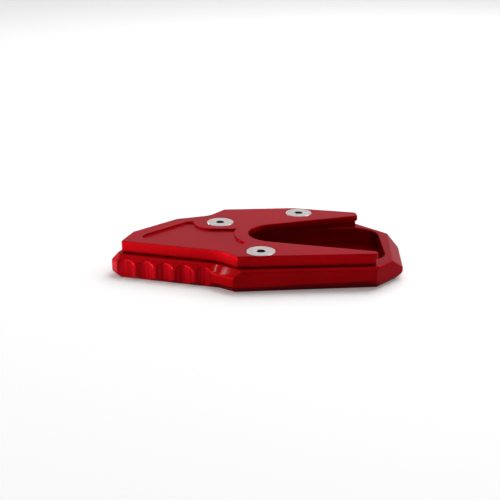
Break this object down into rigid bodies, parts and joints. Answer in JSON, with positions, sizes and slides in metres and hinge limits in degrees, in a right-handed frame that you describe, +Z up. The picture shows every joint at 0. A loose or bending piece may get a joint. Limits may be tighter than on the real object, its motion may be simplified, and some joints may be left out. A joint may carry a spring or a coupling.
{
  "type": "kickstand foot enlarger",
  "caption": "Kickstand foot enlarger: a milled base with a pocket for the stand's foot, closed by a notched plate and countersunk screws.",
  "frame": {"origin": "on the ground, under the middle of the part's box", "axes": "+X along the part from the nose to the open end of the notch, +Y towards the back in the picture's view, +Z up out of the top plate"},
  "size_m": [0.1014, 0.0624, 0.0123],
  "materials": {
    "red_anodised_base": "red anodised, satin",
    "red_anodised_plate": "red anodised, satin",
    "screw_steel": "satin"
  },
  "bodies": {
    "root": {"base_plate": "red_anodised_base", "top_plate": "red_anodised_plate", "screw_front": "screw_steel", "screw_rear_left": "screw_steel", "screw_rear_right": "screw_steel"}
  },
  "joints": []
}
